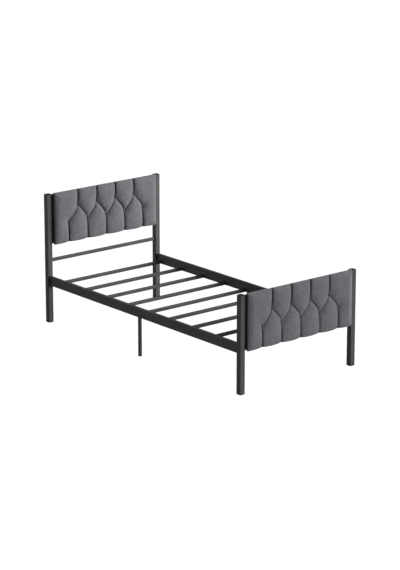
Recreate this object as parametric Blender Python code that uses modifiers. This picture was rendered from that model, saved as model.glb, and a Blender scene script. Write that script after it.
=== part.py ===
"""Metal bed frame with an upholstered headboard and footboard.

Metres, +Z up. +Y runs from foot to head and X across the bed; left is -X. The origin is the
bottom centre of the whole frame. The frame is four tubular posts, split side rails that slide over
spigots on the posts, nine slats whose ends drop into slots in the rails, and a padded board
between each pair of posts, screwed to two cross tubes. All of it is fixed: nothing moves.
"""

import math

import bmesh
import bpy

# Overall size
WIDTH = 1.010  # outside of the posts, across the bed
POST_LENGTH = 2.1426  # outside of the head posts to outside of the foot posts
HEAD_POST_HEIGHT = 0.939
FOOT_POST_HEIGHT = 0.673

# Sections of the tubes
POST = 0.040
RAIL_THICK = 0.020
RAIL_TALL = 0.0685
SLAT = 0.022  # side of the slats, the crossbar and the cross tubes
MID_LEG = 0.020
WALL = 0.0012
CORNER = 0.0025  # outside corner radius of every tube
CORNER_STEPS = 3
GAP = 0.0003  # clearance between neighbouring pieces

# Heights and places
RAIL_BOTTOM = 0.2752
CROSSBAR_TOP = 0.4652
FIRST_SLAT = 0.0399  # from the head posts' inner face to the middle of the first slat
SLAT_GAPS = (0.246, 0.247, 0.242, 0.227, 0.218, 0.248, 0.2495, 0.2485)
SLAT_REACH = 0.012  # how far a slat's end goes into its rail
SPLICE_Y = -0.0345  # where the rail halves meet, from the middle of the posts
SPLICE_LENGTH = 0.100
SPLICE_BOLT_OFFSET = 0.0155  # of each splice bolt from that joint
MID_LEG_Y = 0.006  # from the middle of the posts
SPIGOT_LENGTH = 0.024

# Caps and glides
CAP_THICK = 0.003
GLIDE_THICK = 0.005
PLUG_DEPTH = 0.014

# Padded boards: bottom, top, and how far the pad stands in front of its posts, towards -Y
HEAD_PAD = (0.570, 0.945, 0.033)
FOOT_PAD = (0.291, 0.681, 0.028)
PAD_ROUND = 0.010
PAD_SIDE_GAP = 0.010  # from the pad's side to the post
BOARD_THICK = 0.009
BOARD_SIDE_GAP = 0.002  # from the board's side to the post
BOARD_MARGIN = 0.008  # how far the board's top and bottom are inside the pad's
CROSS_TUBE_INSET = 0.042  # middle of a cross tube, from the pad's top or bottom

# Fasteners
SCREW_RADIUS = 0.0025
SCREW_HEAD_RADIUS = 0.0045
SCREW_HEAD_THICK = 0.0025
SCREW_X = 0.300
SCREW_IN_BOARD = 0.006
BOLT_RADIUS = 0.003
BOLT_HEAD_RADIUS = 0.0055
BOLT_HEAD_THICK = 0.003
BOLT_LENGTH = 0.009
ROUND_SEGMENTS = 12

# Worked out from the sizes above
MIDDLE = FOOT_PAD[2] / 2  # middle of the posts, since the foot pad stands out past them
HEAD_BACK = MIDDLE + POST_LENGTH / 2
HEAD_FACE = HEAD_BACK - POST
FOOT_FACE = MIDDLE - POST_LENGTH / 2
FOOT_BACK = FOOT_FACE + POST
POST_X = WIDTH / 2 - POST / 2
SIDES = (("left", -1), ("right", 1))

MATERIALS = {
    "black_metal": ((0.045, 0.046, 0.048), 0.42, 0.6),
    "black_plastic": ((0.02, 0.02, 0.021), 0.55, 0.0),
    "dark_bolt": ((0.03, 0.03, 0.032), 0.35, 0.9),
    "grey_fabric": ((0.13, 0.135, 0.145), 0.92, 0.0),
    "board": ((0.32, 0.25, 0.17), 0.8, 0.0),
}


def clear_scene():
    for obj in list(bpy.data.objects):
        bpy.data.objects.remove(obj, do_unlink=True)


def new_collection(name, helper=False):
    collection = bpy.data.collections.new(name)
    bpy.context.scene.collection.children.link(collection)
    collection.hide_render = helper
    return collection


def material(name):
    found = bpy.data.materials.get(name)
    if found:
        return found
    colour, roughness, metallic = MATERIALS[name]
    made = bpy.data.materials.new(name)
    made.use_nodes = True
    shader = made.node_tree.nodes["Principled BSDF"]
    shader.inputs["Base Color"].default_value = (*colour, 1.0)
    shader.inputs["Roughness"].default_value = roughness
    shader.inputs["Metallic"].default_value = metallic
    made.diffuse_color = (*colour, 1.0)
    return made


def add_mesh(name, mesh, location, collection, finish=None):
    obj = bpy.data.objects.new(name, mesh)
    obj.location = location
    collection.objects.link(obj)
    if finish:
        mesh.materials.append(material(finish))
    return obj


def as_helper(obj):
    obj.hide_render = True
    obj.display_type = "WIRE"
    return obj


def box_mesh(name, size):
    """A box about its own centre."""
    mesh = bpy.data.meshes.new(name)
    shape = bmesh.new()
    bmesh.ops.create_cube(shape, size=1.0)
    bmesh.ops.scale(shape, vec=size, verts=shape.verts)
    shape.to_mesh(mesh)
    shape.free()
    return mesh


def cylinder_mesh(name, radius, length, axis):
    """A cylinder about its own centre, along the given axis."""
    mesh = bpy.data.meshes.new(name)
    shape = bmesh.new()
    bmesh.ops.create_cone(
        shape, cap_ends=True, segments=ROUND_SEGMENTS, radius1=radius, radius2=radius, depth=length
    )
    turn_to_axis(shape, axis)
    shape.to_mesh(mesh)
    shape.free()
    return mesh


def turn_to_axis(shape, axis):
    """Swaps a shape's coordinates round so that its local Z lies along the axis."""
    for vert in shape.verts:
        x, y, z = vert.co
        vert.co = {"X": (z, x, y), "Y": (y, z, x), "Z": (x, y, z)}[axis]


def cut(obj, cutter, name="Cut"):
    modifier = obj.modifiers.new(name, "BOOLEAN")
    modifier.operation = "DIFFERENCE"
    modifier.solver = "EXACT"
    modifier.object = cutter


def join(obj, other):
    modifier = obj.modifiers.new("Join", "BOOLEAN")
    modifier.operation = "UNION"
    modifier.solver = "EXACT"
    modifier.object = other


def soften(obj, width, segments=2):
    modifier = obj.modifiers.new("Rounded edges", "BEVEL")
    modifier.width = width
    modifier.segments = segments
    modifier.limit_method = "ANGLE"


def shade_round(obj):
    obj.data.shade_smooth()
    obj.data.set_sharp_from_angle(angle=math.radians(40))


def rounded_rectangle(wide, tall, radius):
    """Points round a rectangle whose corners are arcs, or plain corners where the radius is 0."""
    steps = CORNER_STEPS if radius > 0 else 0
    points = []
    for corner, (sx, sy) in enumerate(((1, 1), (-1, 1), (-1, -1), (1, -1))):
        centre_x = sx * (wide / 2 - radius)
        centre_y = sy * (tall / 2 - radius)
        for step in range(steps + 1):
            angle = math.pi / 2 * (corner + (step / steps if steps else 0))
            points.append((centre_x + radius * math.cos(angle), centre_y + radius * math.sin(angle)))
    return points


def tube_mesh(name, wide, tall, length, axis):
    """A hollow rectangular tube, open at both ends: a flat outline with a hole, extruded.

    Along Z its sides are wide in X and tall in Y; along X wide is Y and tall is Z;
    along Y wide is Z and tall is X.
    """
    curve = bpy.data.curves.new(name, "CURVE")
    curve.dimensions = "2D"
    curve.fill_mode = "BOTH"
    curve.extrude = length / 2
    inner = (wide - 2 * WALL, tall - 2 * WALL, CORNER - WALL)
    for outline in (rounded_rectangle(wide, tall, CORNER), rounded_rectangle(*inner)):
        spline = curve.splines.new("POLY")
        spline.points.add(len(outline) - 1)
        for point, (x, y) in zip(spline.points, outline):
            point.co = (x, y, 0.0, 1.0)
        spline.use_cyclic_u = True
    guide = bpy.data.objects.new(name, curve)
    bpy.context.scene.collection.objects.link(guide)
    graph = bpy.context.evaluated_depsgraph_get()
    mesh = bpy.data.meshes.new_from_object(guide.evaluated_get(graph))
    bpy.data.objects.remove(guide, do_unlink=True)
    bpy.data.curves.remove(curve)
    mesh.name = name
    shape = bmesh.new()
    shape.from_mesh(mesh)
    bmesh.ops.remove_doubles(shape, verts=shape.verts, dist=0.00001)
    turn_to_axis(shape, axis)
    bmesh.ops.recalc_face_normals(shape, faces=shape.faces)
    shape.to_mesh(mesh)
    shape.free()
    return mesh


def tube(name, wide, tall, length, axis, location, parts):
    obj = add_mesh(name, tube_mesh(name, wide, tall, length, axis), location, parts, "black_metal")
    shade_round(obj)
    return obj


def hole(obj, location, radius, length, axis, helpers):
    cutter = add_mesh(obj.name + "_hole", cylinder_mesh("hole", radius, length, axis), location, helpers)
    cut(obj, as_helper(cutter), "Hole")


def plug(name, side, location, thick, down, finish, parts, helpers):
    """A cap or glide for a square tube: a flange over the end and a stem inside it.

    location is the flange's middle. down is -1 where the stem points down, as in a cap.
    """
    flange = add_mesh(name, box_mesh(name, (side, side, thick)), location, parts, finish)
    soften(flange, 0.0008)
    stem_side = side - 2 * WALL - 2 * GAP
    x, y, z = location
    stem_place = (x, y, z + down * PLUG_DEPTH / 2)
    stem_mesh = box_mesh("stem", (stem_side, stem_side, PLUG_DEPTH))
    stem = add_mesh(name + "_stem", stem_mesh, stem_place, helpers)
    soften(stem, CORNER - WALL, 1)
    join(flange, as_helper(stem))
    return flange


def fastener(name, location, outward, radius, head_radius, head_thick, length, parts, helpers):
    """A round-headed bolt or screw. location is under its head; outward is (axis, sign)."""
    axis, sign = outward
    along = {"X": 0, "Y": 1, "Z": 2}[axis]
    head_place = list(location)
    head_place[along] += sign * (head_thick / 2 + GAP)
    head_mesh = cylinder_mesh(name, head_radius, head_thick, axis)
    head = add_mesh(name, head_mesh, head_place, parts, "dark_bolt")
    soften(head, head_thick * 0.3)
    shank_place = list(location)
    shank_place[along] += sign * (head_thick / 2 + GAP - length / 2)
    shank = add_mesh(name + "_shank", cylinder_mesh("shank", radius, length, axis), shank_place, helpers)
    join(head, as_helper(shank))
    shade_round(head)
    return head


def build_posts(parts, helpers):
    for end, y, height in (
        ("head", HEAD_BACK - POST / 2, HEAD_POST_HEIGHT),
        ("foot", FOOT_FACE + POST / 2, FOOT_POST_HEIGHT),
    ):
        for side, sign in SIDES:
            x = sign * POST_X
            bottom = GLIDE_THICK + GAP
            top = height - CAP_THICK - GAP
            name = f"{end}_post_{side}"
            middle = (x, y, (bottom + top) / 2)
            tube(name, POST, POST, top - bottom, "Z", middle, parts)
            cap_place = (x, y, height - CAP_THICK / 2)
            plug(f"{end}_post_cap_{side}", POST, cap_place, CAP_THICK, -1, "black_plastic", parts, helpers)
            glide_place = (x, y, GLIDE_THICK / 2)
            plug(
                f"{end}_post_glide_{side}", POST, glide_place, GLIDE_THICK, 1, "black_plastic", parts, helpers
            )


def slat_places():
    """The middle of each slat in Y, from the head to the foot."""
    places = [HEAD_FACE - FIRST_SLAT]
    for gap in SLAT_GAPS:
        places.append(places[-1] - gap)
    return places


def build_rail_half(side, sign, half, y_low, y_high, parts, helpers):
    """One half of a side rail, with a slot in its inner wall for each slat that reaches it."""
    x = sign * POST_X
    middle = (x, (y_low + y_high) / 2, RAIL_BOTTOM + RAIL_TALL / 2)
    name = f"side_rail_{half}_{side}"
    rail = tube(name, RAIL_TALL, RAIL_THICK, y_high - y_low, "Y", middle, parts)
    slot_side = SLAT + 2 * GAP
    for y in slat_places():
        if not y_low < y < y_high:
            continue
        place = (x - sign * (RAIL_THICK / 2), y, slat_middle_height())
        size = (3 * WALL, slot_side, slot_side)
        cut(rail, as_helper(add_mesh(name + "_slot", box_mesh("slot", size), place, helpers)), "Slot")
    return rail


def slat_middle_height():
    """A slat's end rests on the rail's bottom wall."""
    return RAIL_BOTTOM + WALL + 2 * GAP + SLAT / 2


def build_rails(parts, helpers):
    joint = MIDDLE + SPLICE_Y
    bolt_hole = BOLT_RADIUS + GAP
    for side, sign in SIDES:
        head_half = build_rail_half(side, sign, "head", joint + GAP / 2, HEAD_FACE - GAP, parts, helpers)
        foot_half = build_rail_half(side, sign, "foot", FOOT_BACK + GAP, joint - GAP / 2, parts, helpers)
        x = sign * POST_X
        centre_z = RAIL_BOTTOM + RAIL_TALL / 2
        inside_tall = RAIL_TALL - 2 * WALL - 2 * GAP
        inside_thick = RAIL_THICK - 2 * WALL - 2 * GAP
        sleeve_place = (x, joint, centre_z)
        sleeve = tube(
            f"rail_splice_sleeve_{side}", inside_tall, inside_thick, SPLICE_LENGTH, "Y", sleeve_place, parts
        )
        outer_face = x + sign * RAIL_THICK / 2
        for half, rail, offset in (
            ("head", head_half, SPLICE_BOLT_OFFSET),
            ("foot", foot_half, -SPLICE_BOLT_OFFSET),
        ):
            place = (outer_face, joint + offset, RAIL_BOTTOM + RAIL_TALL * 0.36)
            for walled in (rail, sleeve):
                hole(walled, place, bolt_hole, 4 * WALL + 2 * GAP, "X", helpers)
            fastener(
                f"splice_bolt_{half}_{side}", place, ("X", sign),
                BOLT_RADIUS, BOLT_HEAD_RADIUS, BOLT_HEAD_THICK, BOLT_LENGTH, parts, helpers,
            )
        for half, rail, face, inward in (
            ("head", head_half, HEAD_FACE, -1),
            ("foot", foot_half, FOOT_BACK, 1),
        ):
            spigot_place = (x, face + inward * (GAP + SPIGOT_LENGTH / 2), centre_z)
            spigot = tube(
                f"rail_spigot_{half}_{side}", inside_tall, inside_thick, SPIGOT_LENGTH, "Y",
                spigot_place, parts,
            )
            place = (x, spigot_place[1], RAIL_BOTTOM)
            for walled in (rail, spigot):
                hole(walled, place, bolt_hole, 4 * WALL + 2 * GAP, "Z", helpers)
            fastener(
                f"rail_bolt_{half}_{side}", place, ("Z", -1),
                BOLT_RADIUS, BOLT_HEAD_RADIUS, BOLT_HEAD_THICK, BOLT_LENGTH, parts, helpers,
            )


def build_slats(parts):
    inner_face = POST_X - RAIL_THICK / 2
    length = 2 * (inner_face + SLAT_REACH)
    for number, y in enumerate(slat_places(), start=1):
        tube(f"slat_{number}", SLAT, SLAT, length, "X", (0.0, y, slat_middle_height()), parts)


def build_mid_legs(parts, helpers):
    top = RAIL_BOTTOM - GAP
    bottom = GLIDE_THICK + GAP
    y = MIDDLE + MID_LEG_Y
    for side, sign in SIDES:
        x = sign * POST_X
        tube(f"mid_leg_{side}", MID_LEG, MID_LEG, top - bottom, "Z", (x, y, (top + bottom) / 2), parts)
        place = (x, y, GLIDE_THICK / 2)
        plug(f"mid_leg_glide_{side}", MID_LEG, place, GLIDE_THICK, 1, "black_plastic", parts, helpers)


def cross_tube(name, y, z, parts):
    length = 2 * (POST_X - POST / 2 - GAP)
    return tube(name, SLAT, SLAT, length, "X", (0.0, y, z), parts)


def build_padded_board(end, face, post_middle, pad_extent, parts, helpers):
    """A pad on its board, screwed from behind to two cross tubes between the posts."""
    bottom, top, proud = pad_extent
    middle_z = (bottom + top) / 2
    reach = POST_X - POST / 2  # from the middle to the posts' inner faces
    tube_front = post_middle - SLAT / 2
    tube_back = post_middle + SLAT / 2

    board_y = tube_front - GAP - BOARD_THICK / 2
    board_size = (2 * (reach - BOARD_SIDE_GAP), BOARD_THICK, top - bottom - 2 * BOARD_MARGIN)
    board_mesh = box_mesh("board", board_size)
    board = add_mesh(f"{end}board_backing", board_mesh, (0.0, board_y, middle_z), parts, "board")

    pad_front = face - proud
    pad_back = board_y - BOARD_THICK / 2 - GAP
    pad_mesh = box_mesh("pad", (2 * (reach - PAD_SIDE_GAP), pad_back - pad_front, top - bottom))
    pad_place = (0.0, (pad_front + pad_back) / 2, middle_z)
    pad = add_mesh(f"{end}board_pad", pad_mesh, pad_place, parts, "grey_fabric")
    soften(pad, PAD_ROUND, 4)
    shade_round(pad)

    screw_length = SLAT + GAP + SCREW_IN_BOARD + SCREW_HEAD_THICK / 2
    for level, z in (("upper", top - CROSS_TUBE_INSET), ("lower", bottom + CROSS_TUBE_INSET)):
        bar = cross_tube(f"{end}_cross_tube_{level}", post_middle, z, parts)
        for side, sign in SIDES:
            place = (sign * SCREW_X, tube_back, z)
            for drilled in (bar, board):
                deep = 2 * (SLAT + 2 * GAP + SCREW_IN_BOARD)
                hole(drilled, place, SCREW_RADIUS + GAP, deep, "Y", helpers)
            fastener(
                f"{end}board_screw_{level}_{side}", place, ("Y", 1),
                SCREW_RADIUS, SCREW_HEAD_RADIUS, SCREW_HEAD_THICK, screw_length, parts, helpers,
            )


def main():
    clear_scene()
    parts = new_collection("metal_bed_frame")
    helpers = new_collection("cutters", helper=True)
    build_posts(parts, helpers)
    build_rails(parts, helpers)
    build_slats(parts)
    build_mid_legs(parts, helpers)
    head_middle = HEAD_BACK - POST / 2
    cross_tube("head_crossbar", head_middle, CROSSBAR_TOP - SLAT / 2, parts)
    build_padded_board("head", HEAD_FACE, head_middle, HEAD_PAD, parts, helpers)
    build_padded_board("foot", FOOT_FACE, FOOT_FACE + POST / 2, FOOT_PAD, parts, helpers)


main()
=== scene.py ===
"""Looks for the metal bed frame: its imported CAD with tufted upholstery, finishes, light and camera.

Metres, +Z up, in the CAD's own frame: +Y runs from foot to head and left is -X.
"""

import math

import bmesh
import bpy
import numpy as np
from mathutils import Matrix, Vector


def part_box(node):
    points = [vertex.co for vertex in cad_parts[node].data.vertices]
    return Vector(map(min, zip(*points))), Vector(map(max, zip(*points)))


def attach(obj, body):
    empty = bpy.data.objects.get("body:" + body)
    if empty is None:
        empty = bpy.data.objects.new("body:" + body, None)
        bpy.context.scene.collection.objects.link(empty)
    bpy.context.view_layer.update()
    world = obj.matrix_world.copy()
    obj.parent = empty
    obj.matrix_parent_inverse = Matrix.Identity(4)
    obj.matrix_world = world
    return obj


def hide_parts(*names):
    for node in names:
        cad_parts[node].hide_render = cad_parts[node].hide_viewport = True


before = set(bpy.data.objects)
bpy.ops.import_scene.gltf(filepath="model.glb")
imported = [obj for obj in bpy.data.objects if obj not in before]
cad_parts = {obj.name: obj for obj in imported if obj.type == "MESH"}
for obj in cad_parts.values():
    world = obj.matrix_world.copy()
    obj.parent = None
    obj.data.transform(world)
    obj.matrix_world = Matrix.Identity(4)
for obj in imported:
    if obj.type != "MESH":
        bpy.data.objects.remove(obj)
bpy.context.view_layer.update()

# Camera
LENS = 151.01  # mm, on Blender's 36 mm sensor
CAMERA_YAW = 0.6875  # radians, from +Y towards +X
CAMERA_PITCH = 0.2783  # radians, downwards
CAMERA_FROM_MIDDLE = (-10.0260, -12.2562, 4.9411)

# Tufting, the same on both boards: columns step by half a pitch between the two rows of nodes
TUFT_PITCH = 0.166
UPPER_COLUMNS = (-1.5, -0.5, 0.5, 1.5)
LOWER_COLUMNS = (-2.0, -1.0, 0.0, 1.0, 2.0)
GROOVE_BEND = 0.20  # 0 makes the slanting grooves straight, 1 a full S
GROOVE_BOW = 0.0075  # how far the middle of a slanting groove stands towards +X
GROOVE_STEPS = 40
WALL_POWER = 2.4  # 2 rounds the cells' sides like a circle, more makes them squarer
LEFT_IN_GROOVE = 0.0030  # least padding behind a groove
WALL_SHARE = 0.94  # of a cell's height: the part that rises within the roll-off width
CROWN_SHARE = 0.06  # the part that rises slowly, all the way to the cell's middle
DEPTH_VARIES = 0.10  # share by which the groove depth wanders
PINCH = 0.50  # share of a cell's height that is held down at a node
PINCH_REACH = 0.030
UPPER_END, LOWER_END = 1.9, 2.4  # in pitches from the middle: no notches further out

# Painted shade: the cloth's colour is darkened in the seams' grooves and at the tufting nodes, where shade
# falls
PAINTED_SEAM_SHADE = "painted_seam_shade"  # mesh attribute: painted shade that darkens the cloth along the seams and at the nodes
PAINTED_SHADE_REACH = 0.0050
PAINTED_SLANT_SHADE = 0.28
PAINTED_UPRIGHT_SHADE = 0.50  # painted shade added on the upright seams, darker than on the slanting ones
PAINTED_NODE_SHADE = 0.45  # painted shade added at the tufting nodes
PAINTED_NODE_SHADE_REACH = 0.0090
MOST_PAINTED_SHADE = 0.92

# How the cloth lies over the padding
SHAPED_SHARE = 0.75  # of the pad's thickness, from the front: the part that the tufting shapes
PULL_IN = 0.0062  # how far the cloth rolls back at the rim
PULL_IN_REACH = 0.050
FOLD_HEIGHT = 0.0017  # of the folds that run out from the nodes
FOLD_START, FOLD_REACH = 0.008, 0.020
FOLDS_WIDE, FOLDS_FINE = 9, 14  # folds round one node
FINE_SHARE = 0.6  # height of the fine folds against the wide ones
GATHER_HEIGHT, GATHER_SIZE = 0.0006, 0.030  # small unevenness beside the seams
GATHER_REACH = 0.014
GATHER_SQUEEZE = 3.1  # times narrower than high
SLACK_HEIGHT, SLACK_SIZE = 0.0006, 0.085  # broad unevenness everywhere
UNEVEN_SIZE = 0.21
NOISE_WAVES, NOISE_GAIN = 7, 1.9

# Where seams meet the bottom and top edges
BOTTOM_FADE, TOP_FADE = 0.045, 0.030  # how far from the edge the notches are felt
FADE_POWER = 1.5
ARC_POWER = 2.2
BOTTOM_NOTCH, BOTTOM_NOTCH_WIDTH = 0.0025, 0.012
TOP_NOTCH, TOP_NOTCH_WIDTH = 0.0040, 0.020
LOST_BEHIND = 0.55  # share of the bottom notches that is gone at the pad's back

# The pads' grids
CLOTH_STEP = 0.0045
EDGE_STEPS = (0.0, 0.0013, 0.0030, 0.0052, 0.0080, 0.0115)
BACK_STEPS = (0.0028, 0.0013)  # from the back
SIDE_STEPS = 4  # places between the steps of the front edge and those of the back
BACK_RINGS = (0.004, 0.012)  # rings of points on the flat back, from its edge
TAPER_SHIFT = 0.00012  # between the columns of points that taper_column makes
FRONT_ROUND = 0.0095
BACK_ROUND = 0.0030

# The boards' backs
COVER_THICK = 0.0004
STACK_GAP = 0.0002
STAPLES_ACROSS = 19
STAPLES_UP = 7
STAPLE_INSET = 0.007  # from the cover's edge
STAPLE_ROW_INSET = 0.03  # of the rows' first and last staples
STAPLE_COLUMN_INSET = 0.05
STAPLE_TURN = 0.12  # radians, either way
STAPLE_THICK = 0.0003
STAPLE_PATH = (  # along the crown from its middle, and out from the cover
    (-0.0052, -0.0006), (-0.0050, 0.00018), (-0.0042, 0.00030),
    (0.0042, 0.00030), (0.0050, 0.00018), (0.0052, -0.0006),
)
STAPLE_SECTION = ((-0.0005, 0), (0.0005, 0), (0.0004, 0.0003), (-0.0004, 0.0003))  # across, and out
SLAB_STEP = 0.02
BOARD_ROUND = 0.0015
COVER_ROUND = 0.0004
COVER_INSET = 0.010  # from the board's edge

# The simulation
SIM_FRAMES = 20
PUFF = 0.0030  # how far the cells start short of full, for the simulation to fill
PUFF_RAMP = 0.012  # beside a groove
PUFF_CAP = 0.0050
HELD_BESIDE_SEAM = 0.004
LOOSE_RAMP = 0.012
HOLD_LEVELS = 10

BOARDS = {
    # z of the two rows of nodes, groove depth, roll-off width, rise of the bottom edge at a groove
    "head": {
        "upper": 0.830, "lower": 0.721, "depth": 0.0285, "roll": 0.032, "scallop": 0.0065, "seed": 3,
    },
    "foot": {
        "upper": 0.540, "lower": 0.441, "depth": 0.0240, "roll": 0.032, "scallop": 0.0090, "seed": 8,
    },
}

# Hardware
CAP = (0.003, 0.0011)  # thickness of the flange, height of its dome
GLIDE = (0.005, 0.0006)
STEM_LESS = 0.0034  # how much narrower a plug's stem is than its flange
STEM_GROOVE = 0.0014  # how much narrower still it is between its ribs
BOLT = (0.0040, 0.0030, 0.0030)  # socket across flats, shank radius, head height
SCREW = (0.0032, 0.0025, 0.0025)
WELD_LEG = 0.0030
WELD_STEP = 0.0009  # between the points round a weld
WELD_RIPPLE = 0.0030  # length of one ripple
WELD_WANDER = 0.011  # length of the slower change in size
WELD_OVERLAP = 0.0002  # into the tube

# Light and floor
AMBIENT = 0.04  # what the surroundings send to everything but the camera
FLOOR_GLOW = 0.95  # the floor's own light, for the camera only
FLOOR_SEEN = 0.14  # how white the camera finds it under the lamps
FLOOR_SENT = 0.30  # how white everything else finds it
SUNS = (  # name, azimuth, elevation, angle, strength
    ("key_front_right", 47, 20, 36, 3.6),
    ("back", 184, 12, 50, 3.0),
)
LIGHTS = (  # name, place, aim, size, power
    ("side_right", (3.4, -0.6, 1.3), (0.0, 0.9, 0.6), (1.6, 1.6), 75),
    ("fill_left", (-4.5, -1.0, 1.6), (0.0, 0.0, 0.4), (3.0, 2.0), 5),
)


# ---------------------------------------------------------------- small helpers


def node(tree, kind, settings=None, inputs=None):
    """A shader node. Inputs are values, or sockets to link from."""
    made = tree.nodes.new("ShaderNode" + kind)
    for key, value in (settings or {}).items():
        setattr(made, key, value)
    for key, value in (inputs or {}).items():
        if isinstance(value, bpy.types.NodeSocket):
            tree.links.new(value, made.inputs[key])
        else:
            made.inputs[key].default_value = value
    return made


def sums(tree, operation, a, b=None):
    """The result of one arithmetic operation."""
    inputs = {0: a} if b is None else {0: a, 1: b}
    return node(tree, "Math", {"operation": operation}, inputs).outputs[0]


def noise(tree, vector, scale, detail=2.0, rough=0.5):
    """Noise from 0 to 1, with about scale blotches to the metre."""
    inputs = {"Vector": vector, "Scale": scale, "Detail": detail, "Roughness": rough}
    return node(tree, "TexNoise", None, inputs).outputs["Fac"]


def stretch(tree, vector, scale):
    """Coordinates multiplied by a factor for each axis."""
    return node(tree, "Mapping", None, {"Vector": vector, "Scale": scale}).outputs[0]


def between(tree, value, low, high, to_low=0.0, to_high=1.0):
    """The value mapped from low..high to to_low..to_high, and held inside that."""
    names = ("Value", "From Min", "From Max", "To Min", "To Max")
    inputs = dict(zip(names, (value, low, high, to_low, to_high)))
    return node(tree, "MapRange", None, inputs).outputs[0]


def blend_colour(tree, share, first, second):
    """From the first colour at share 0 to the second at share 1."""
    made = node(tree, "Mix", {"data_type": "RGBA"})
    for socket, value in ((made.inputs[0], share), (made.inputs[6], first), (made.inputs[7], second)):
        if isinstance(value, bpy.types.NodeSocket):
            tree.links.new(value, socket)
        else:
            socket.default_value = value
    return made.outputs[2]


def bump(tree, height, strength, distance):
    """A normal tilted by the height, in which 1 stands for the distance."""
    inputs = {"Height": height, "Strength": strength, "Distance": distance}
    return node(tree, "Bump", None, inputs).outputs[0]


def grey(value, blue=0.0):
    """A grey in linear light, with a share more blue."""
    return (value, value * (1 + blue * 0.2), value * (1 + blue), 1.0)


def new_material(name, **fixed):
    """A material with its node tree, its surface node and the object's own coordinates."""
    made = bpy.data.materials.new(name)
    made.use_nodes = True
    tree = made.node_tree
    surface = tree.nodes["Principled BSDF"]
    for key, value in fixed.items():
        surface.inputs[key.replace("_", " ")].default_value = value
    where = tree.nodes.new("ShaderNodeTexCoord").outputs["Object"]
    return made, tree, surface, where


def mesh_object(name, points, faces, finish):
    """A smooth-shaded object with its normals outwards."""
    mesh = bpy.data.meshes.new(name)
    mesh.from_pydata([tuple(p) for p in points], [], [tuple(int(i) for i in f) for f in faces])
    shape = bmesh.new()
    shape.from_mesh(mesh)
    bmesh.ops.recalc_face_normals(shape, faces=shape.faces)
    shape.to_mesh(mesh)
    shape.free()
    made = bpy.data.objects.new(name, mesh)
    bpy.context.scene.collection.objects.link(made)
    mesh.materials.append(finish)
    mesh.shade_smooth()
    return made


def strip(a, b, count):
    """Faces between two rings of count points, which begin at numbers a and b."""
    return [[a + n, a + (n + 1) % count, b + (n + 1) % count, b + n] for n in range(count)]


# ---------------------------------------------------------------- finishes


def edge_mask(tree, width):
    """1 on an edge, falling to 0 on the flat within about the width."""
    rounded = node(tree, "Bevel", {"samples": 6}, {"Radius": width}).outputs[0]
    flat = node(tree, "NewGeometry").outputs["Normal"]
    match = node(tree, "VectorMath", {"operation": "DOT_PRODUCT"}, {0: rounded, 1: flat})
    return between(tree, match.outputs["Value"], 0.995, 0.86)


def powder_coat(name, tone, rough):
    """Satin powder coat: fine orange peel, faint blotches in gloss, and thinner, shinier edges."""
    made, tree, surface, where = new_material(name, Metallic=0.0, IOR=1.5)
    cloud = noise(tree, where, 7.0, 3.0)
    peel = noise(tree, where, 900.0, 2.0, 0.6)
    speck = noise(tree, where, 2600.0, 1.0)
    edge = edge_mask(tree, 0.0016)
    patches = between(tree, noise(tree, where, 60.0, 4.0), 0.35, 0.7)
    rub = sums(tree, "MULTIPLY", edge, patches)
    darker, lighter = grey(tone * 0.92, 0.02), grey(tone * 1.08, 0.03)
    base = blend_colour(tree, between(tree, cloud, 0.3, 0.7), darker, lighter)
    specks = between(tree, speck, 0.62, 0.74, 0.0, 0.35)
    dusted = blend_colour(tree, specks, base, grey(tone * 1.9, 0.02))
    worn = blend_colour(tree, sums(tree, "MULTIPLY", rub, 0.3), dusted, grey(tone * 1.6, 0.02))
    tree.links.new(worn, surface.inputs["Base Color"])
    gloss = between(tree, cloud, 0.25, 0.75, rough - 0.04, rough + 0.05)
    polished = sums(tree, "SUBTRACT", gloss, sums(tree, "MULTIPLY", rub, 0.10))
    tree.links.new(polished, surface.inputs["Roughness"])
    height = sums(tree, "ADD", peel, sums(tree, "MULTIPLY", speck, 0.35))
    tree.links.new(bump(tree, height, 0.22, 0.0002), surface.inputs["Normal"])
    return made


def moulded_plastic():
    """Black polypropylene with a spark-eroded texture and scuffed edges."""
    made, tree, surface, where = new_material("black_plastic", IOR=1.49)
    surface.inputs["Specular IOR Level"].default_value = 0.25
    grain = noise(tree, where, 1500.0, 3.0, 0.7)
    cloud = noise(tree, where, 45.0, 2.0)
    scuff = sums(tree, "MULTIPLY", edge_mask(tree, 0.0012), between(tree, cloud, 0.4, 0.62))
    base = blend_colour(tree, cloud, grey(0.005), grey(0.009))
    tree.links.new(blend_colour(tree, scuff, base, grey(0.020)), surface.inputs["Base Color"])
    tree.links.new(between(tree, grain, 0.3, 0.7, 0.42, 0.58), surface.inputs["Roughness"])
    tree.links.new(bump(tree, grain, 0.35, 0.00015), surface.inputs["Normal"])
    return made


def black_oxide():
    """Black oxide steel: metallic, with fine turning marks and lighter rubbed edges."""
    made, tree, surface, where = new_material("black_oxide_steel", Metallic=0.85)
    mark = noise(tree, stretch(tree, where, (400.0, 400.0, 3000.0)), 1.0, 3.0)
    rub = edge_mask(tree, 0.0005)
    base = blend_colour(tree, mark, grey(0.022, 0.04), grey(0.045, 0.04))
    tree.links.new(blend_colour(tree, rub, base, grey(0.16, 0.02)), surface.inputs["Base Color"])
    tree.links.new(between(tree, mark, 0.3, 0.7, 0.30, 0.46), surface.inputs["Roughness"])
    tree.links.new(bump(tree, mark, 0.15, 0.0001), surface.inputs["Normal"])
    return made


def staple_wire():
    """Zinc-coated wire with faint drawing marks."""
    made, tree, surface, where = new_material("zinc_staple_wire", Metallic=1.0)
    mark = noise(tree, where, 2500.0, 2.0)
    base = blend_colour(tree, mark, grey(0.42, 0.03), grey(0.62, 0.03))
    tree.links.new(base, surface.inputs["Base Color"])
    tree.links.new(between(tree, mark, 0.3, 0.7, 0.28, 0.45), surface.inputs["Roughness"])
    tree.links.new(bump(tree, mark, 0.1, 0.0001), surface.inputs["Normal"])
    return made


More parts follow.
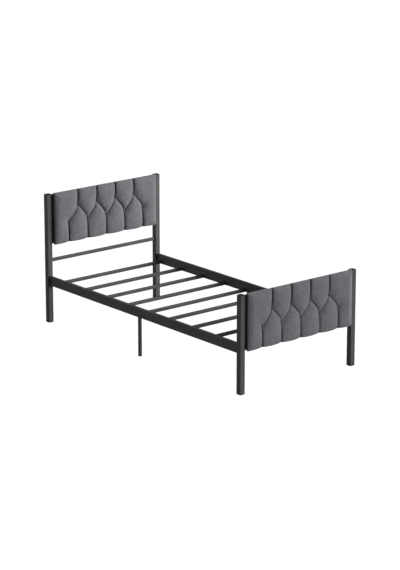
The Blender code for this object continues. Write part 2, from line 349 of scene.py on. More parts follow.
def woven_fabric():
    """Grey plain-weave polyester: crossing yarns, slubs, a heathered mix of tones and a soft nap, with
    painted shade in the weave's low points and along the seams.
    """
    thread = 0.0012
    lift = 0.55
    made, tree, surface, where = new_material(
        "grey_woven_fabric", Sheen_Weight=0.30, Sheen_Roughness=0.45, IOR=1.4
    )
    surface.inputs["Sheen Tint"].default_value = (0.80, 0.84, 0.92, 1.0)
    surface.inputs["Specular IOR Level"].default_value = 0.25
    parts = node(tree, "SeparateXYZ", None, {0: where}).outputs
    along_x = sums(tree, "ADD", parts[0], parts[1])
    along_z = sums(tree, "SUBTRACT", parts[2], parts[1])
    cloth = node(tree, "CombineXYZ", None, {0: along_x, 1: along_z}).outputs[0]
    wobble = sums(tree, "MULTIPLY", sums(tree, "SUBTRACT", noise(tree, where, 35.0), 0.5), 0.0016)
    wave = []
    for place in (along_x, along_z):
        turned = sums(tree, "MULTIPLY", sums(tree, "ADD", place, wobble), math.pi / thread)
        wave.append(sums(tree, "SINE", turned))
    cross = sums(tree, "MULTIPLY", sums(tree, "MULTIPLY", wave[0], wave[1]), lift)
    warp = sums(tree, "ADD", sums(tree, "ABSOLUTE", wave[0]), cross)
    weft = sums(tree, "SUBTRACT", sums(tree, "ABSOLUTE", wave[1]), cross)
    weave = sums(tree, "MAXIMUM", warp, weft)
    warp_on_top = between(tree, sums(tree, "SUBTRACT", warp, weft), -0.15, 0.15)

    slub_warp = noise(tree, stretch(tree, cloth, (620.0, 26.0, 1.0)), 1.0, 3.0, 0.65)
    slub_weft = noise(tree, stretch(tree, cloth, (26.0, 620.0, 1.0)), 1.0, 3.0, 0.65)
    slub = node(tree, "Mix", None, {0: warp_on_top, 2: slub_weft, 3: slub_warp}).outputs[0]
    heather = noise(tree, where, 240.0, 4.0, 0.75)
    cloud = noise(tree, where, 9.0, 3.0)
    mottle = noise(tree, where, 105.0, 5.0, 0.8)
    tone = blend_colour(tree, between(tree, slub, 0.30, 0.70), grey(0.114, 0.10), grey(0.236, 0.10))
    tone = blend_colour(tree, between(tree, heather, 0.35, 0.70, 0.0, 0.60), tone, grey(0.25, 0.10))
    tone = blend_colour(tree, between(tree, mottle, 0.40, 0.60, 0.0, 0.50), tone, grey(0.064, 0.10))
    tone = blend_colour(tree, between(tree, cloud, 0.3, 0.7, 0.0, 0.16), tone, grey(0.11, 0.10))
    # painted shade: the weave's low points between the yarns are darkened
    painted_pit_shade = between(tree, weave, 0.15, 0.85, 0.55, 0.0)
    cloth_tone = blend_colour(tree, painted_pit_shade, tone, grey(0.030, 0.10))
    # painted shade: the mesh attribute darkens the cloth in the seams' grooves and at the tufting nodes
    seam = node(tree, "Attribute", {"attribute_name": PAINTED_SEAM_SHADE}).outputs["Fac"]
    tree.links.new(blend_colour(tree, seam, cloth_tone, grey(0.014, 0.10)), surface.inputs["Base Color"])
    tree.links.new(between(tree, weave, 0.2, 1.2, 0.96, 0.80), surface.inputs["Roughness"])
    height = sums(tree, "ADD", weave, sums(tree, "MULTIPLY", slub, 0.6))
    tree.links.new(bump(tree, height, 0.55, 0.0004), surface.inputs["Normal"])
    return made


def dust_cloth():
    """Black spunbonded cover: random fibres and a grid of small pressed dots."""
    made, tree, surface, where = new_material(
        "black_spunbond_cloth", Sheen_Weight=0.25, Sheen_Roughness=0.5
    )
    fibre = noise(tree, stretch(tree, where, (900.0, 900.0, 260.0)), 1.0, 4.0, 0.7)
    dots = node(tree, "TexVoronoi", None, {"Vector": where, "Scale": 420.0, "Randomness": 0.15})
    pressed = between(tree, dots.outputs["Distance"], 0.22, 0.36)
    tone = blend_colour(tree, between(tree, fibre, 0.35, 0.68), grey(0.012, 0.03), grey(0.040, 0.04))
    tree.links.new(blend_colour(tree, pressed, grey(0.010), tone), surface.inputs["Base Color"])
    tree.links.new(between(tree, fibre, 0.3, 0.7, 0.95, 0.75), surface.inputs["Roughness"])
    height = sums(tree, "ADD", sums(tree, "MULTIPLY", fibre, 0.6), pressed)
    tree.links.new(bump(tree, height, 0.4, 0.0002), surface.inputs["Normal"])
    return made


def stained_board():
    """Black-stained plywood: grain under the stain, and rawer wood where the edges are rubbed."""
    made, tree, surface, where = new_material("black_stained_board", IOR=1.5)
    grain = noise(tree, stretch(tree, where, (6.0, 60.0, 190.0)), 1.0, 5.0, 0.6)
    depth = node(tree, "SeparateXYZ", None, {0: where}).outputs[1]
    plies = sums(tree, "SINE", sums(tree, "MULTIPLY", depth, math.pi / 0.0015))
    rub = sums(tree, "MULTIPLY", edge_mask(tree, 0.0012), between(tree, grain, 0.5, 0.75))
    face = blend_colour(tree, between(tree, grain, 0.3, 0.7), grey(0.008), (0.017, 0.014, 0.012, 1))
    ply = blend_colour(tree, between(tree, plies, -0.2, 0.2, 0.0, 0.3), face, (0.022, 0.017, 0.013, 1))
    bare = blend_colour(tree, sums(tree, "MULTIPLY", rub, 0.4), ply, (0.12, 0.085, 0.05, 1))
    tree.links.new(bare, surface.inputs["Base Color"])
    tree.links.new(between(tree, grain, 0.3, 0.7, 0.55, 0.8), surface.inputs["Roughness"])
    tree.links.new(bump(tree, grain, 0.3, 0.0003), surface.inputs["Normal"])
    return made


# ---------------------------------------------------------------- tufted boards


def groove_lines(board, bottom, top):
    """Polylines of the sewn grooves in (x, z), and the tufting nodes."""
    lines = []
    upper = [c * TUFT_PITCH for c in UPPER_COLUMNS]
    lower = [c * TUFT_PITCH for c in LOWER_COLUMNS]
    t = np.linspace(0.0, 1.0, GROOVE_STEPS)
    for x in upper:
        z = np.linspace(top, board["upper"], GROOVE_STEPS)
        lines.append(np.stack([np.full_like(z, x), z], 1))
        for side in (-0.5, 0.5):
            share = (1 - GROOVE_BEND) * t + GROOVE_BEND * (3 * t**2 - 2 * t**3)
            across = x + side * TUFT_PITCH * share + GROOVE_BOW * np.sin(math.pi * t)
            along = board["upper"] + (board["lower"] - board["upper"]) * t
            lines.append(np.stack([across, along], 1))
    for x in lower:
        z = np.linspace(board["lower"], bottom, GROOVE_STEPS)
        lines.append(np.stack([np.full_like(z, x), z], 1))
    nodes = [(x, board["upper"]) for x in upper] + [(x, board["lower"]) for x in lower]
    return lines, np.array(nodes)


def distance_to_lines(x, z, lines):
    """Distance from each (x, z) to the nearest piece of any polyline."""
    best = np.full(x.shape, 1.0)
    for line in lines:
        for (ax, az), (bx, bz) in zip(line[:-1], line[1:]):
            dx, dz = bx - ax, bz - az
            share = np.clip(((x - ax) * dx + (z - az) * dz) / (dx * dx + dz * dz), 0.0, 1.0)
            best = np.minimum(best, np.hypot(x - ax - share * dx, z - az - share * dz))
    return best


def soft_noise(x, z, seed, size):
    """Smooth noise, mostly from -1 to 1, from a few fixed waves."""
    rng = np.random.default_rng(seed)
    total = np.zeros_like(x)
    for _ in range(NOISE_WAVES):
        angle = rng.uniform(0, 2 * math.pi)
        wave = 2 * math.pi / (size * rng.uniform(0.7, 1.6))
        total += np.sin(wave * (x * math.cos(angle) + z * math.sin(angle)) + rng.uniform(0, 2 * math.pi))
    return total / NOISE_WAVES * NOISE_GAIN


def spaced(low, high, step):
    """Places from low to high about one step apart, with closer ones at both ends."""
    inner_low, inner_high = low + EDGE_STEPS[-1], high - EDGE_STEPS[-1]
    count = max(2, round((inner_high - inner_low) / step))
    middle = np.linspace(inner_low, inner_high, count + 1)
    return np.concatenate(
        [[low + e for e in EDGE_STEPS[:-1]], middle, [high - e for e in reversed(EDGE_STEPS[:-1])]]
    )


def lattice_box(xs, ys, zs):
    """The front and four sides of a box as a grid of quads, with the back open. Gives the points,
    the faces and the point numbers round the open back edge."""
    nx, ny, nz = len(xs) - 1, len(ys) - 1, len(zs) - 1
    index = {}
    faces = []

    def at(i, j, k):
        return index.setdefault((i, j, k), len(index))

    for i in range(nx):
        for k in range(nz):
            faces.append([at(i, 0, k), at(i + 1, 0, k), at(i + 1, 0, k + 1), at(i, 0, k + 1)])
    for j in range(ny):
        for k in range(nz):
            faces.append([at(0, j + 1, k), at(0, j, k), at(0, j, k + 1), at(0, j + 1, k + 1)])
            faces.append([at(nx, j, k), at(nx, j + 1, k), at(nx, j + 1, k + 1), at(nx, j, k + 1)])
        for i in range(nx):
            faces.append([at(i, j + 1, 0), at(i + 1, j + 1, 0), at(i + 1, j, 0), at(i, j, 0)])
            faces.append([at(i, j, nz), at(i + 1, j, nz), at(i + 1, j + 1, nz), at(i, j + 1, nz)])
    back = [(i, 0) for i in range(nx)] + [(nx, k) for k in range(nz)]
    back += [(i, nz) for i in range(nx, 0, -1)] + [(0, k) for k in range(nz, 0, -1)]
    edge = [index[i, ny, k] for i, k in back]
    points = np.array([(xs[i], ys[j], zs[k]) for i, j, k in index])
    return points, faces, edge


def taper_column(points, faces, column, shift):
    """Halves a column of points again and again, so that no flat face gets too many corners."""
    while len(column) > 6:
        kept = list(range(2, len(column) - 2, 2))
        inner = points[[column[k] for k in kept]].copy()
        inner[:, 0] += shift
        fresh = list(range(len(points), len(points) + len(inner)))
        points = np.concatenate([points, inner])
        reduced = [column[0], *fresh, column[-1]]
        marks = [0, *kept, len(column) - 1]
        for n in range(len(marks) - 1):
            ends = [p for p in (reduced[n + 1], reduced[n]) if p not in (column[0], column[-1])]
            faces.append([*column[marks[n] : marks[n + 1] + 1], *ends])
        column = reduced
    return points, column


def close_back(points, faces, edge, columns, rows, low, high):
    """Closes the flat back: two rings inwards, then strips from bottom to top."""
    centre = (low + high) / 2
    half = (high - low) / 2
    rim = points[edge]
    previous = list(edge)
    for inset in BACK_RINGS:
        ring = rim.copy()
        ring[:, 1] = high[1]
        for axis in (0, 2):
            ring[:, axis] = centre[axis] + (rim[:, axis] - centre[axis]) * (1 - inset / half[axis])
        current = list(range(len(points), len(points) + len(ring)))
        points = np.concatenate([points, ring])
        for n, start in enumerate(previous):
            m = (n + 1) % len(previous)
            faces.append([start, current[n], current[m], previous[m]])
        previous = current
    ring = previous
    top_right = columns + rows
    for i in range(1, columns - 1):
        above = top_right + (columns - i)
        faces.append([ring[above], ring[above - 1], ring[i + 1], ring[i]])
    last_top = 2 * columns + rows - 1
    left = [ring[0], *ring[last_top + 1 :][::-1]]
    points, left = taper_column(points, faces, left, TAPER_SHIFT)
    faces.append([*left, ring[last_top], ring[1]])
    right = ring[columns : top_right + 1]
    points, right = taper_column(points, faces, right, -TAPER_SHIFT)
    faces.append([*right, ring[top_right + 1], ring[columns - 1]])
    return points, faces


def round_box(points, low, high):
    """Moves the points of a box onto one with rounded edges, rounder in front than behind."""
    middle = (low[1] + high[1]) / 2
    radius = np.where(points[:, 1] < middle, FRONT_ROUND, BACK_ROUND)[:, None]
    core = np.clip(points, low + radius, high - radius)
    out = points - core
    length = np.linalg.norm(out, axis=1, keepdims=True)
    return np.where(length > 1e-9, core + out / np.maximum(length, 1e-9) * radius, points)


def groove_profile(distance, roll):
    """0 in the groove and 1 in a cell's middle: a squared-off quarter circle over the roll-off
    width, then a slow rise."""
    near = np.clip(distance / roll, 0.0, 1.0)
    far = np.clip(distance / (TUFT_PITCH / 2), 0.0, 1.0)
    wall = (1 - (1 - near) ** WALL_POWER) ** (1 / WALL_POWER)
    return WALL_SHARE * wall + CROWN_SHARE * np.sin(far * math.pi / 2)


def puckers(x, z, nodes, seed):
    """Small folds in the cloth that run out from the nodes, from -1 to 1."""
    rng = np.random.default_rng(seed)
    total = np.zeros_like(x)
    for node_x, node_z in nodes:
        away = np.hypot(x - node_x, z - node_z)
        angle = np.arctan2(z - node_z, x - node_x)
        folds = np.cos(FOLDS_WIDE * angle + rng.uniform(0, 6.3))
        folds = folds + FINE_SHARE * np.cos(FOLDS_FINE * angle + rng.uniform(0, 6.3))
        total += folds * np.exp(-away / FOLD_REACH) * np.clip(away / FOLD_START, 0, 1) ** 2
    return total / (1 + FINE_SHARE)


def to_columns(x, offset, end):
    """Distance in x to the nearest column of seams, and half a pitch beyond the last one."""
    place = (x / TUFT_PITCH + offset) % 1.0
    nearest = np.minimum(place, 1 - place) * TUFT_PITCH
    return np.where(np.abs(x) < end * TUFT_PITCH, nearest, TUFT_PITCH / 2)


def painted_groove_shade(x, z, lines, apart, to_node):
    """Painted shade along the seams and at the nodes, which darkens the cloth, from 0 to
    MOST_PAINTED_SHADE.
    """
    # painted shade: darker along the seams and at the nodes
    upright = distance_to_lines(x, z, [line for line in lines if line[0, 0] == line[-1, 0]])
    shade = PAINTED_SLANT_SHADE * np.exp(-((apart / PAINTED_SHADE_REACH) ** 2))
    shade += PAINTED_UPRIGHT_SHADE * np.exp(-((upright / PAINTED_SHADE_REACH) ** 2))
    shade += PAINTED_NODE_SHADE * np.exp(-((to_node / PAINTED_NODE_SHADE_REACH) ** 2))
    return np.minimum(shade, MOST_PAINTED_SHADE)


def tufted_points(points, low, high, board):
    """Sinks the grooves into the front and notches the top and bottom edges where they end. Gives
    the points, their distance from a seam, how far each counts as front, and its painted seam shade."""
    x, y, z = points.T
    lines, nodes = groove_lines(board, low[2], high[2])
    apart = distance_to_lines(x, z, lines)
    to_upper = to_columns(x, 0.5, UPPER_END)
    to_lower = to_columns(x, 0.0, LOWER_END)

    thick = high[1] - low[1]
    front = np.clip(1.0 - (y - low[1]) / (SHAPED_SHARE * thick), 0.0, 1.0)
    front = front * front * (3 - 2 * front)
    uneven = soft_noise(x, z, board["seed"], UNEVEN_SIZE)
    depth = board["depth"] * (1 + DEPTH_VARIES * uneven)
    to_node = np.min(np.hypot(x[:, None] - nodes[:, 0], z[:, None] - nodes[:, 1]), axis=1)
    pinch = 1 - PINCH * np.exp(-((to_node / PINCH_REACH) ** 2))
    sink = depth * (1 - pinch * groove_profile(apart, board["roll"]))

    rim = np.minimum.reduce([x - low[0], high[0] - x, z - low[2], high[2] - z])
    pull_in = PULL_IN * (1 - np.clip(rim / PULL_IN_REACH, 0, 1)) ** 2
    folds = puckers(x, z, nodes, board["seed"] + 20) * FOLD_HEIGHT
    gather = soft_noise(x * GATHER_SQUEEZE, z, board["seed"] + 5, GATHER_SIZE) * GATHER_HEIGHT
    gather = gather * np.exp(-apart / GATHER_REACH)
    slack = soft_noise(x, z, board["seed"] + 9, SLACK_SIZE) * SLACK_HEIGHT
    unfilled = PUFF * np.clip(apart / PUFF_RAMP, 0, 1)
    moved = points.copy()
    moved[:, 1] += front * (sink + pull_in + folds + gather + slack + unfilled)
    moved[:, 1] = np.minimum(moved[:, 1], np.maximum(y, high[1] - LEFT_IN_GROOVE))

    near_bottom = np.clip(1 - (z - low[2]) / BOTTOM_FADE, 0, 1) ** FADE_POWER
    near_top = np.clip(1 - (high[2] - z) / TOP_FADE, 0, 1) ** FADE_POWER
    arc_low = (1 - np.clip(to_lower / (TUFT_PITCH / 2), 0, 1)) ** ARC_POWER
    notch_low = (1 - np.clip(to_lower / BOTTOM_NOTCH_WIDTH, 0, 1)) ** 2
    notch_top = (1 - np.clip(to_upper / TOP_NOTCH_WIDTH, 0, 1)) ** 2
    through = 1 - LOST_BEHIND * np.clip((y - low[1]) / thick, 0, 1)
    moved[:, 2] += through * near_bottom * (board["scallop"] * arc_low + BOTTOM_NOTCH * notch_low)
    moved[:, 2] -= front * near_top * TOP_NOTCH * notch_top
    return moved, apart, front, front * painted_groove_shade(x, z, lines, apart, to_node)


def inflate(obj, hold):
    """Fills the cells with a short pressure simulation, and gives the points it ends at."""
    scene = bpy.context.scene
    group = obj.vertex_groups.new(name="held")
    for step in range(1, HOLD_LEVELS + 1):
        chosen = np.nonzero(np.round(hold * HOLD_LEVELS) == step)[0]
        if len(chosen):
            group.add(chosen.tolist(), step / HOLD_LEVELS, "REPLACE")
    cloth = obj.modifiers.new("Cloth", "CLOTH")
    cloth.settings.quality = 5
    cloth.settings.mass = 0.25
    cloth.settings.tension_stiffness = 12
    cloth.settings.compression_stiffness = 12
    cloth.settings.shear_stiffness = 4
    cloth.settings.bending_stiffness = 0.25
    cloth.settings.use_pressure = True
    cloth.settings.uniform_pressure_force = 4.0
    cloth.settings.vertex_group_mass = "held"
    cloth.settings.effector_weights.gravity = 0.0
    cloth.collision_settings.use_collision = False
    cloth.point_cache.frame_start = 1
    cloth.point_cache.frame_end = SIM_FRAMES
    for number in range(1, SIM_FRAMES + 1):
        scene.frame_set(number)
    graph = bpy.context.evaluated_depsgraph_get()
    result = obj.evaluated_get(graph).to_mesh()
    ended = np.empty(len(result.vertices) * 3)
    result.vertices.foreach_get("co", ended)
    obj.evaluated_get(graph).to_mesh_clear()
    obj.modifiers.remove(cloth)
    obj.vertex_groups.remove(group)
    scene.frame_set(1)
    return ended.reshape(-1, 3)


def build_upholstery(end, fabric):
    """One tufted pad: drawn, then filled by a short simulation."""
    board = BOARDS[end]
    low, high = (np.array(corner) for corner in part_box(f"{end}board_pad"))
    ys = [low[1] + step for step in EDGE_STEPS]
    ys += list(np.linspace(ys[-1], high[1] - BACK_STEPS[0], SIDE_STEPS)[1:])
    ys += [high[1] - BACK_STEPS[1], high[1]]
    xs = spaced(low[0], high[0], CLOTH_STEP)
    zs = spaced(low[2], high[2], CLOTH_STEP)
    points, faces, edge = lattice_box(xs, ys, zs)
    rounded = round_box(points, low, high)
    shaped, apart, front, painted_seam_shade = tufted_points(rounded, low, high, board)
    skin_count = len(shaped)
    shaped, faces = close_back(shaped, faces, edge, len(xs) - 1, len(zs) - 1, low, high)
    pad = mesh_object(f"{end}board_tufted_pad", shaped, faces, fabric)

    hold = np.ones(len(shaped))
    off_seam = np.clip((apart - HELD_BESIDE_SEAM) / LOOSE_RAMP, 0, 1)
    hold[:skin_count] = 1 - off_seam * np.clip(front * 2.2 - 0.9, 0, 1)
    drift = inflate(pad, hold) - shaped
    length = np.linalg.norm(drift, axis=1, keepdims=True)
    shaped = shaped + drift / np.maximum(length, 1e-9) * PUFF_CAP * np.tanh(length / PUFF_CAP)
    shaped[:, 1] = np.maximum(shaped[:, 1], low[1])
    # painted shade for the seams and nodes, stored on the pad's points for the cloth to darken by
    shade = np.zeros(len(shaped), dtype=np.float32)
    shade[:skin_count] = painted_seam_shade
    pad.data.attributes.new(PAINTED_SEAM_SHADE, "FLOAT", "POINT").data.foreach_set("value", shade)
    pad.data.vertices.foreach_set("co", shaped.ravel())
    pad.data.update()
    smoother = pad.modifiers.new("Smooth cloth", "SUBSURF")
    smoother.levels = smoother.render_levels = 1
    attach(pad, "root")
    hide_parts(f"{end}board_pad")


def slab_places(low, high, radius):
    """Places for a slab's grid lines: close together at both ends, SLAB_STEP apart between."""
    count = max(2, round((high - low) / SLAB_STEP))
    middle = np.linspace(low + 2 * radius, high - 2 * radius, count)
    return np.unique(np.concatenate([[low, low + radius], middle, [high - radius, high]]))


def rounded_slab(name, low, high, radius, finish):
    """A thin board or cloth with rounded edges, its broad faces towards -Y and +Y."""
    xs = slab_places(low[0], high[0], radius)
    zs = slab_places(low[2], high[2], radius)
    index = {}
    faces = []

    def at(i, j, k):
        return index.setdefault((i, j, k), len(index))

    nx, nz = len(xs) - 1, len(zs) - 1
    for i in range(nx):
        for k in range(nz):
            for j in (0, 1):
                faces.append([at(i, j, k), at(i + 1, j, k), at(i + 1, j, k + 1), at(i, j, k + 1)])
        for k in (0, nz):
            faces.append([at(i, 0, k), at(i + 1, 0, k), at(i + 1, 1, k), at(i, 1, k)])
    for k in range(nz):
        for i in (0, nx):
            faces.append([at(i, 0, k), at(i, 0, k + 1), at(i, 1, k + 1), at(i, 1, k)])
    points = np.array([(xs[i], (low[1], high[1])[j], zs[k]) for i, j, k in index])
    made = mesh_object(name, points, faces, finish)
    bevel = made.modifiers.new("Rounded edges", "BEVEL")
    bevel.width = min(radius, (high[1] - low[1]) * 0.4)
    bevel.segments = 3
    bevel.limit_method = "ANGLE"
    made.data.set_sharp_from_angle(angle=math.radians(50))
    return made


def staple_points(x, y, z, turn):
    """The six sections of one staple, four points each: its crown and the starts of its legs."""
    along = np.array([math.cos(turn), 0, math.sin(turn)])
    across = np.array([-math.sin(turn), 0, math.cos(turn)])
    points = []
    for reach, lift in STAPLE_PATH:
        for side, under in STAPLE_SECTION:
            place = np.array([x, y + lift - STAPLE_THICK + under, z])
            points.append(place + along * reach + across * side)
    return points


def staple_faces(start):
    """The faces of one staple whose points begin at number start."""
    faces = []
    for section in range(start, start + 4 * (len(STAPLE_PATH) - 1), 4):
        faces += strip(section, section + 4, 4)
    last = start + len(STAPLE_PATH) * 4 - 1
    faces.append([start, start + 1, start + 2, start + 3])
    faces.append([last, last - 1, last - 2, last - 3])
    return faces


def build_staples(end, cover_low, cover_high, wire):
    """Staples round a dust cover: along its bottom and top, then up its two sides."""
    inset = STAPLE_ROW_INSET
    row = np.linspace(cover_low[0] + inset, cover_high[0] - inset, STAPLES_ACROSS)
    inset = STAPLE_COLUMN_INSET
    rise = np.linspace(cover_low[2] + inset, cover_high[2] - inset, STAPLES_UP)
    places = []
    for z in (cover_low[2] + STAPLE_INSET, cover_high[2] - STAPLE_INSET):
        places += [(x, z, 0.0) for x in row]
    for x in (cover_low[0] + STAPLE_INSET, cover_high[0] - STAPLE_INSET):
        places += [(x, z, math.pi / 2) for z in rise]
    points = []
    faces = []
    rng = np.random.default_rng(BOARDS[end]["seed"])
    for x, z, turn in places:
        start = len(points)
        points += staple_points(x, cover_high[1], z, rng.uniform(-STAPLE_TURN, STAPLE_TURN) + turn)
        faces += staple_faces(start)
    staples = mesh_object(f"{end}board_staples", points, faces, wire)
    staples.data.set_sharp_from_angle(angle=math.radians(40))
    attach(staples, "root")


def build_board_back(end, board_finish, cover_finish, wire):
    """The board behind a pad, its dust cover and the staples that hold the cover."""
    low, high = (np.array(corner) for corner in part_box(f"{end}board_backing"))
    back = high[1] - COVER_THICK - 2 * STACK_GAP
    board_high = np.array([high[0], back, high[2]])
    board = rounded_slab(f"{end}board_panel", low, board_high, BOARD_ROUND, board_finish)
    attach(board, "root")
    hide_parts(f"{end}board_backing")
    cover_front = back + STACK_GAP * 0.5
    cover_low = np.array([low[0] + COVER_INSET, cover_front, low[2] + COVER_INSET])
    cover_high = np.array([high[0] - COVER_INSET, cover_front + COVER_THICK, high[2] - COVER_INSET])
    cover = rounded_slab(f"{end}board_dust_cover", cover_low, cover_high, COVER_ROUND, cover_finish)
    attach(cover, "root")
    build_staples(end, cover_low, cover_high, wire)


# ---------------------------------------------------------------- hardware


def lofted(name, rings, finish, sharp_angle=35):
    """A closed body through rings of points, each end closed by a fan to its middle."""
    count = len(rings[0])
    points = [p for ring in rings for p in ring]
    faces = []
    for r in range(len(rings) - 1):
        faces += strip(r * count, (r + 1) * count, count)
    for ring, start, flip in ((rings[0], 0, True), (rings[-1], (len(rings) - 1) * count, False)):
        points.append(np.mean(ring, axis=0))
        middle = len(points) - 1
        for n in range(count):
            m = (n + 1) % count
            fan = [start + n, start + m, middle]
            faces.append(fan[::-1] if flip else fan)
    made = mesh_object(name, points, faces, finish)
    made.data.set_sharp_from_angle(angle=math.radians(sharp_angle))
    return made


def square_ring(centre, side, radius, z, steps=6):
    """Points round a square with rounded corners."""
    ring = []
    for corner, (sx, sy) in enumerate(((1, 1), (-1, 1), (-1, -1), (1, -1))):
        for step in range(steps + 1):
            angle = math.pi / 2 * (corner + step / steps)
            x = centre[0] + sx * (side / 2 - radius) + radius * math.cos(angle)
            y = centre[1] + sy * (side / 2 - radius) + radius * math.sin(angle)
            ring.append((x, y, z))
    return ring


def build_end_plug(name, cad_node, up, finish):
    """A moulded cap or glide: a domed flange over the tube's end and a ribbed stem inside it."""
    low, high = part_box(cad_node)
    side = high.x - low.x
    centre = ((low.x + high.x) / 2, (low.y + high.y) / 2)
    outer = high.z if up else low.z
    sign = 1 if up else -1
    flange, dome = CAP if up else GLIDE
    depth = (high.z - low.z) - flange
    tip = -flange - depth
    stem = side - STEM_LESS
    core, rib = stem - STEM_GROOVE, stem - 0.0002
    profile = [  # width across, height from the outer face
        (stem - 0.0022, tip), (stem - 0.0008, tip + 0.0012), (rib, tip + 0.0024),
        (core, tip + 0.0040), (core, tip + 0.0058), (rib, tip + 0.0072), (core, tip + 0.0088),
        (core, -flange), (side - 0.0009, -flange), (side - 0.0001, -flange + 0.0004),
        (side, -flange + 0.0009), (side, -dome - 0.0011), (side - 0.0004, -dome - 0.0005),
        (side - 0.0014, -dome), (side - 0.0050, -dome * 0.55), (side * 0.62, -dome * 0.20),
        (side * 0.30, -dome * 0.03), (side * 0.06, 0.0),
    ]
    rings = []
    for width, drop in profile:
        radius = min(0.0028, width * 0.25)
        rings.append(square_ring(centre, width, radius, outer + sign * drop))
    made = lofted(name, rings, finish)
    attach(made, "root")
    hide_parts(cad_node)


def build_bolt(name, cad_node, axis, sign, finish, sizes):
    """A button-head screw with a hexagon socket, on the line of its CAD node."""
    socket, shank_radius, head_high = sizes
    low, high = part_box(cad_node)
    low, high = np.array(low), np.array(high)
    along = "XYZ".index(axis)
    others = [n for n in range(3) if n != along]
    centre = (low + high) / 2
    head_radius = (high[others[0]] - low[others[0]]) / 2
    top = high[along] if sign > 0 else low[along]
    tip = -(high[along] - low[along])
    count = 48
    angles = np.arange(count) * 2 * math.pi / count
    hexagon = socket / 2 / np.cos((angles + math.pi / 6) % (math.pi / 3) - math.pi / 6)
    circle = np.ones(count)
    profile = [
        (hexagon * 0.5, -head_high * 0.55), (hexagon, -head_high * 0.50), (hexagon, -head_high * 0.10),
        (hexagon * 1.08, 0.0), (circle * head_radius * 0.72, 0.0),
        (circle * head_radius * 0.86, -head_high * 0.17), (circle * head_radius * 0.96, -head_high * 0.45),
        (circle * head_radius, -head_high * 0.75), (circle * head_radius * 0.985, -head_high * 0.97),
        (circle * head_radius * 0.94, -head_high), (circle * shank_radius, -head_high),
        (circle * shank_radius, tip * 0.94), (circle * shank_radius * 0.8, tip),
    ]
    rings = []
    for radii, drop in profile:
        ring = np.tile(centre, (count, 1))
        ring[:, others[0]] += radii * np.cos(angles)
        ring[:, others[1]] += radii * np.sin(angles)
        ring[:, along] = top + sign * drop
        rings.append(ring)
    made = lofted(name, rings, finish)
    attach(made, "root")
    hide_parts(cad_node)


def weld_ring(name, centre, side, axis, sign, finish):
    """A rippled fillet weld round the end of a square tube, against the face it meets."""
    outline = square_ring((0.0, 0.0), side, 0.0025, 0.0, 5)
    path = []
    for (ax, ay, _), (bx, by, _) in zip(outline, outline[1:] + outline[:1]):
        count = max(1, round(math.hypot(bx - ax, by - ay) / WELD_STEP))
        path += [(ax + (bx - ax) * n / count, ay + (by - ay) * n / count) for n in range(count)]
    path = np.array(path)
    outward = path / np.linalg.norm(path, axis=1, keepdims=True)
    run = np.cumsum(np.hypot(*(path - np.roll(path, 1, axis=0)).T))
    turn = run * 2 * math.pi
    ripple = 1 + 0.13 * np.sin(turn / WELD_RIPPLE) + 0.05 * np.sin(turn / WELD_WANDER)
    section = [(0.0, 0.0), (0.0, 1.0), (0.36, 0.62), (0.62, 0.36), (1.0, 0.0)]
    along = "XYZ".index(axis)
    others = [n for n in range(3) if n != along]
    points = []
    for out, away in section:
        place = np.zeros((len(path), 3))
        inside = WELD_OVERLAP if out == 0 else 0
        flat = path + outward * (WELD_LEG * out * ripple)[:, None] - outward * inside
        place[:, others[0]], place[:, others[1]] = flat[:, 0], flat[:, 1]
        place[:, along] = sign * WELD_LEG * away * ripple
        points.append(place + np.array(centre))
    count = len(path)
    faces = []
    for r in range(len(section)):
        faces += strip(r * count, ((r + 1) % len(section)) * count, count)
    made = mesh_object(name, np.concatenate(points), faces, finish)
    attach(made, "root")


def build_welds(finish):
    """Welds at both ends of every bar between posts, and at the tops of the middle legs."""
    bars = ["head_crossbar"]
    bars += [f"{end}_cross_tube_{level}" for end in BOARDS for level in ("upper", "lower")]
    for bar in bars:
        low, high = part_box(bar)
        for side, x, sign in (("left", low.x, 1), ("right", high.x, -1)):
            place = (x, (low.y + high.y) / 2, (low.z + high.z) / 2)
            weld_ring(f"weld_{bar}_{side}", place, high.z - low.z, "X", sign, finish)
    for side in ("left", "right"):
        low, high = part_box(f"mid_leg_{side}")
        place = ((low.x + high.x) / 2, (low.y + high.y) / 2, high.z)
        weld_ring(f"weld_mid_leg_{side}", place, high.x - low.x, "Z", -1, finish)


# ---------------------------------------------------------------- light, floor and camera


def sun_light(name, azimuth, elevation, angle, strength):
    """A broad, distant light. azimuth is from -Y towards +X, in degrees."""
    data = bpy.data.lights.new(name, "SUN")
    data.energy = strength
    data.angle = math.radians(angle)
    lamp = bpy.data.objects.new(name, data)
    a, e = math.radians(azimuth), math.radians(elevation)
    toward = Vector((math.sin(a) * math.cos(e), -math.cos(a) * math.cos(e), math.sin(e)))
    lamp.rotation_euler = toward.to_track_quat("Z", "Y").to_euler()
    lamp.location = toward * 6
    bpy.context.scene.collection.objects.link(lamp)


def area_light(name, place, aim, size, power):
    """A rectangular lamp that the camera doesn't see."""
    data = bpy.data.lights.new(name, "AREA")
    data.shape = "RECTANGLE"
    data.size, data.size_y = size
    data.energy = power
    lamp = bpy.data.objects.new(name, data)
    lamp.location = place
    lamp.rotation_euler = (Vector(aim) - Vector(place)).to_track_quat("-Z", "Y").to_euler()
    lamp.visible_camera = False
    bpy.context.scene.collection.objects.link(lamp)


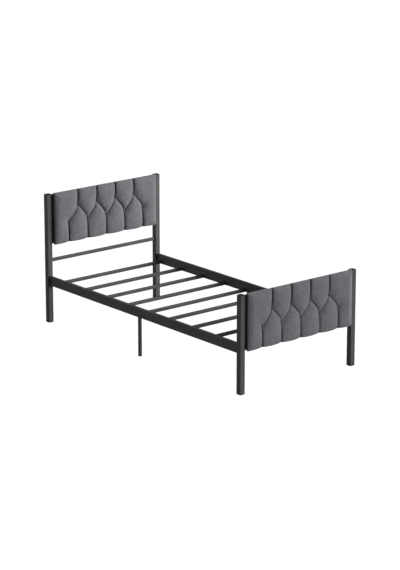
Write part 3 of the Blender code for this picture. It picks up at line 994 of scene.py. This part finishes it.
def build_studio(floor_finish):
    """White surroundings, the floor and the lamps."""
    scene = bpy.context.scene
    scene.view_settings.view_transform = "Standard"
    world = bpy.data.worlds.new("studio")
    scene.world = world
    world.use_nodes = True
    tree = world.node_tree
    background = tree.nodes["Background"]
    seen = node(tree, "LightPath").outputs["Is Camera Ray"]
    tree.links.new(between(tree, seen, 0.0, 1.0, AMBIENT, 1.0), background.inputs["Strength"])
    background.inputs["Color"].default_value = (1.0, 1.0, 1.0, 1.0)
    mesh = bpy.data.meshes.new("floor")
    shape = bmesh.new()
    bmesh.ops.create_grid(shape, x_segments=2, y_segments=2, size=40.0)
    shape.to_mesh(mesh)
    shape.free()
    floor = bpy.data.objects.new("floor", mesh)
    floor.location = (0, 0, -0.0005)
    scene.collection.objects.link(floor)
    mesh.materials.append(floor_finish)
    for lamp in SUNS:
        sun_light(*lamp)
    for lamp in LIGHTS:
        area_light(*lamp)


def pale_floor():
    """A white sweep: almost evenly bright to the camera, dim in what it sends to the bed."""
    made = bpy.data.materials.new("pale_floor")
    made.use_nodes = True
    tree = made.node_tree
    tree.nodes.remove(tree.nodes["Principled BSDF"])
    out = tree.nodes["Material Output"]
    seen = node(tree, "LightPath").outputs["Is Camera Ray"]
    glow = node(tree, "Emission", None, {"Strength": FLOOR_GLOW}).outputs[0]
    white = node(tree, "BsdfDiffuse", None, {"Color": grey(FLOOR_SEEN)}).outputs[0]
    dim = node(tree, "BsdfDiffuse", None, {"Color": grey(FLOOR_SENT)}).outputs[0]
    lit = node(tree, "AddShader", None, {0: glow, 1: white}).outputs[0]
    mixed = node(tree, "MixShader", None, {0: seen, 1: dim, 2: lit}).outputs[0]
    tree.links.new(mixed, out.inputs["Surface"])
    return made


def build_camera():
    """The photo's camera, placed from the middle between the posts."""
    low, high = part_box("foot_post_left")[0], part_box("head_post_left")[1]
    middle = Vector((0.0, (low.y + high.y) / 2, 0.0))
    data = bpy.data.cameras.new("camera")
    data.lens = LENS
    data.sensor_width = 36.0
    data.clip_end = 200.0
    camera = bpy.data.objects.new("camera", data)
    camera.location = middle + Vector(CAMERA_FROM_MIDDLE)
    camera.rotation_euler = (math.pi / 2 - CAMERA_PITCH, 0.0, -CAMERA_YAW)
    bpy.context.scene.collection.objects.link(camera)
    bpy.context.scene.camera = camera


def main():
    """Dresses the CAD frame and adds the upholstery, hardware, light and camera."""
    build_camera()
    build_studio(pale_floor())
    coat = powder_coat("black_powder_coat", 0.064, 0.40)
    # the slats and head crossbar get a darker copy of the frame's coat: painted shade
    shaded_slat_coat = powder_coat("black_powder_coat_slats_painted_shade", 0.058, 0.42)
    plastic = moulded_plastic()
    steel = black_oxide()
    fabric = woven_fabric()
    cover_cloth = dust_cloth()
    panel = stained_board()
    wire = staple_wire()
    for name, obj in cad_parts.items():
        finish = shaded_slat_coat if name.startswith("slat_") or name == "head_crossbar" else coat
        obj.data.materials.clear()
        obj.data.materials.append(finish)
    for end in BOARDS:
        build_upholstery(end, fabric)
        build_board_back(end, panel, cover_cloth, wire)
    build_welds(coat)
    for end in ("head", "foot"):
        for side in ("left", "right"):
            build_end_plug(f"{end}_domed_cap_{side}", f"{end}_post_cap_{side}", True, plastic)
            build_end_plug(f"{end}_floor_glide_{side}", f"{end}_post_glide_{side}", False, plastic)
    for side, sign in (("left", -1), ("right", 1)):
        build_end_plug(f"middle_floor_glide_{side}", f"mid_leg_glide_{side}", False, plastic)
        for half in ("head", "foot"):
            ends = f"{half}_{side}"
            build_bolt(f"socket_bolt_splice_{ends}", f"splice_bolt_{ends}", "X", sign, steel, BOLT)
            build_bolt(f"socket_bolt_rail_{ends}", f"rail_bolt_{ends}", "Z", -1, steel, BOLT)
            for level in ("upper", "lower"):
                place = f"{half}board_{level}_{side}"
                cad_node = f"{half}board_screw_{level}_{side}"
                build_bolt(f"socket_screw_{place}", cad_node, "Y", 1, steel, SCREW)


main()
